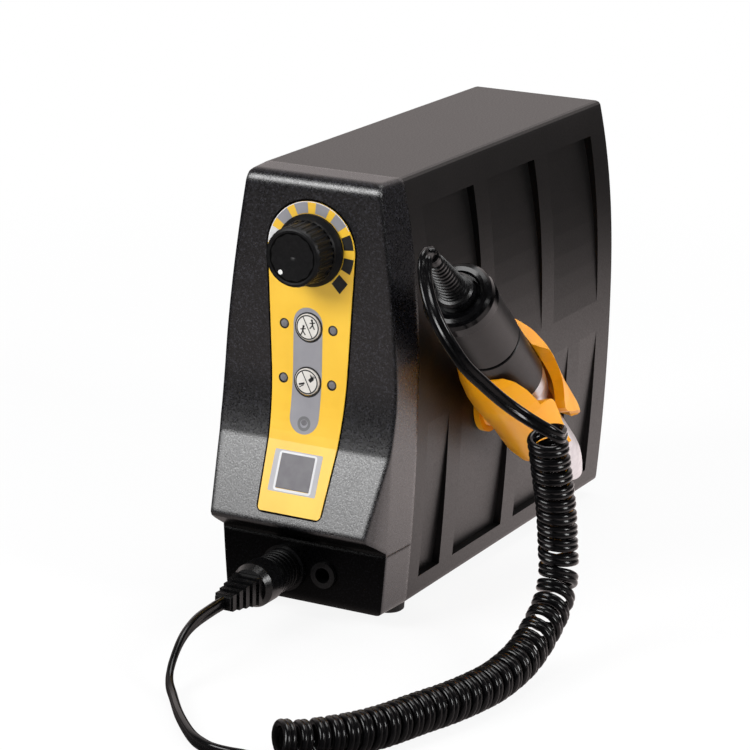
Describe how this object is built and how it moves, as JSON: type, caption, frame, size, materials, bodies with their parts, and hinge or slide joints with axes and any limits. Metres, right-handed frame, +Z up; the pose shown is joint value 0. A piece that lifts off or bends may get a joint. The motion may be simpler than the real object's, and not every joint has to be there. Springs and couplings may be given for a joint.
{
  "type": "electric rotary tool with desktop control box and cradle",
  "caption": "Slim black control box with an amber front label, side cradle holding a pen-shaped rotary handpiece, and a curly cord running to its front socket",
  "frame": {"origin": "On the table plane under the middle of the footprint of the box, its cradle and the resting handpiece, without the free cord.", "axes": "+X towards the side that carries the cradle, +Y from the front with its controls towards the rear, +Z up."},
  "size_m": [0.1549, 0.3599, 0.18],
  "materials": {
    "black_shell": "fine satin texture",
    "bezel_black": "fine satin texture",
    "rubber": "matte",
    "screw_steel": "zinc plated",
    "label_film": "satin printed film",
    "window": "smoked clear window",
    "led_grey": "unlit lamp",
    "circuit_board": "solder mask",
    "dark_plastic": "moulded",
    "steel": "turned",
    "knob_black": "polished moulding",
    "white_paint": "filled dot",
    "button_white": "satin",
    "core_steel": "laminated core",
    "copper": "enamelled winding",
    "aluminium": "satin",
    "socket_black": "moulded",
    "rocker_red": "moulded",
    "cradle_amber": "moulded",
    "boot_black": "satin",
    "cap_black": "polished",
    "sleeve_black": "satin anodised",
    "magnet": "sintered",
    "cord_black": "glossy sheath"
  },
  "bodies": {
    "console": {"front_bezel": "bezel_black", "socket_panel": "bezel_black", "housing": "black_shell", "rear_panel": "black_shell", "feet": "rubber", "foot_screws": "screw_steel", "rear_screws": "screw_steel", "control_label": "label_film", "display_window": "window", "indicator_leds": "led_grey", "display_module": "dark_plastic", "control_board": "circuit_board", "button_switches": "dark_plastic", "speed_pot": "steel", "transformer_core": "core_steel", "transformer_coil": "copper", "driver_board": "circuit_board", "heat_sink": "aluminium", "handpiece_socket": "socket_black", "pedal_jack": "socket_black", "mains_inlet": "socket_black", "switch_frame": "socket_black", "fuse_holder": "socket_black", "cradle": "cradle_amber", "cradle_screw": "screw_steel", "curly_cord": "cord_black", "cord_tail": "cord_black", "cord_plug": "boot_black"},
    "speed_knob": {"knob": "knob_black", "knob_pointer": "white_paint", "pot_shaft": "steel"},
    "direction_key": {"direction_button": "button_white"},
    "mode_key": {"mode_button": "button_white"},
    "power_key": {"power_rocker": "rocker_red"},
    "handpiece": {"cord_boot": "boot_black", "rear_cap": "cap_black", "upper_sleeve": "sleeve_black", "grip_ring": "rubber", "lower_sleeve": "sleeve_black", "motor_can": "steel", "motor_magnets": "magnet", "rear_bearing": "steel", "front_bearing": "steel", "nose_cone": "aluminium", "nose_bearing": "steel", "cord_lead": "cord_black"},
    "chuck_lock": {"chuck_ring": "aluminium"},
    "spindle": {"rotor": "copper", "spindle_shaft": "steel", "collet": "steel"}
  },
  "joints": [
    {"name": "knob_turn", "type": "hinge", "parent": "console", "child": "speed_knob", "pos_m": [-0.01927, -0.09929, 0.151], "axis": [0, 1, 0], "range_deg": [0, 280]},
    {"name": "direction_press", "type": "slide", "parent": "console", "child": "direction_key", "axis": [0, 1, 0], "range_m": [0, 0.0008], "stiffness_N_per_m": 900, "springref_m": -0.0005},
    {"name": "mode_press", "type": "slide", "parent": "console", "child": "mode_key", "axis": [0, 1, 0], "range_m": [0, 0.0008], "stiffness_N_per_m": 900, "springref_m": -0.0005},
    {"name": "power_rock", "type": "hinge", "parent": "console", "child": "power_key", "pos_m": [-0.00227, 0.1034, 0.04], "axis": [1, 0, 0], "range_deg": [-18, 0]},
    {"name": "handpiece_lift", "type": "slide", "parent": "console", "child": "handpiece", "axis": [0, -0.749, 0.6626], "range_m": [0, 0.13]},
    {"name": "chuck_lock_turn", "type": "hinge", "parent": "handpiece", "child": "chuck_lock", "pos_m": [0.04078, -0.03438, 0.09125], "axis": [0, -0.749, 0.6626], "range_deg": [0, 60]},
    {"name": "spindle_spin", "type": "hinge", "parent": "handpiece", "child": "spindle", "pos_m": [0.04078, 0.02808, 0.03599], "axis": [0, -0.749, 0.6626], "continuous": true}
  ]
}
